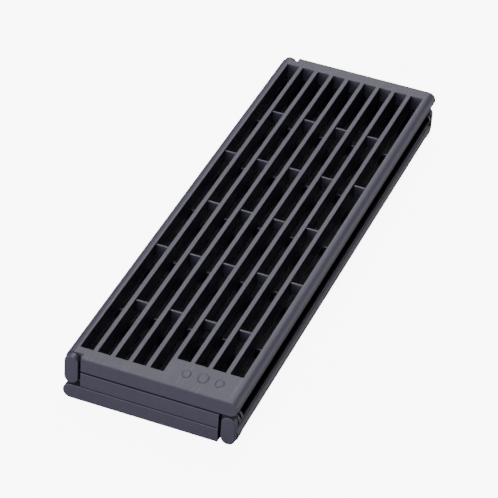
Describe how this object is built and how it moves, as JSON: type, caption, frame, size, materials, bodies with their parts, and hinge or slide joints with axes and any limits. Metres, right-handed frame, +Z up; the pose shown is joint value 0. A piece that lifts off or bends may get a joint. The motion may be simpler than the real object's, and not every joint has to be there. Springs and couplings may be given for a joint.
{
  "type": "folding draining rack",
  "caption": "Slotted three-panel draining rack that folds in a Z on double-pivot end links, for glasses, bottles or dishes to dry on.",
  "frame": {"origin": "middle of the folded rack's footprint, on the surface it stands on", "axes": "+X to the right across the slots, +Y to the rear along the slots, +Z up; the front end with the plain area faces -Y"},
  "size_m": [0.1268, 0.4144, 0.0374],
  "materials": {
    "panel": "matte moulded",
    "link": "matte moulded",
    "pin": "ground",
    "foot": "soft matte"
  },
  "bodies": {
    "bottom_panel": {"bottom_panel": "panel", "foot_bottom_front_left": "foot", "foot_bottom_front_right": "foot", "foot_bottom_rear_left": "foot", "foot_bottom_rear_right": "foot"},
    "right_links": {"link_right_front": "link", "pin_right_front_bottom": "pin", "pin_right_front_middle": "pin", "link_right_rear": "link", "pin_right_rear_bottom": "pin", "pin_right_rear_middle": "pin"},
    "middle_panel": {"middle_panel": "panel", "foot_middle_front_left": "foot", "foot_middle_front_right": "foot", "foot_middle_rear_left": "foot", "foot_middle_rear_right": "foot"},
    "left_links": {"link_left_front": "link", "pin_left_front_middle": "pin", "pin_left_front_top": "pin", "link_left_rear": "link", "pin_left_rear_middle": "pin", "pin_left_rear_top": "pin"},
    "top_panel": {"top_panel": "panel", "foot_top_front_left": "foot", "foot_top_front_right": "foot", "foot_top_rear_left": "foot", "foot_top_rear_right": "foot"}
  },
  "joints": [
    {"name": "right_link_swing", "type": "hinge", "parent": "bottom_panel", "child": "right_links", "pos_m": [0.05737, 0, 0.0062], "axis": [0, 1, 0], "range_deg": [0, 90]},
    {"name": "middle_panel_swing", "type": "hinge", "parent": "right_links", "child": "middle_panel", "pos_m": [0.05737, 0, 0.0188], "axis": [0, 1, 0], "range_deg": [0, 90]},
    {"name": "left_link_swing", "type": "hinge", "parent": "middle_panel", "child": "left_links", "pos_m": [-0.05737, 0, 0.0188], "axis": [0, -1, 0], "range_deg": [0, 90]},
    {"name": "top_panel_swing", "type": "hinge", "parent": "left_links", "child": "top_panel", "pos_m": [-0.05737, 0, 0.0314], "axis": [0, -1, 0], "range_deg": [0, 90]}
  ]
}
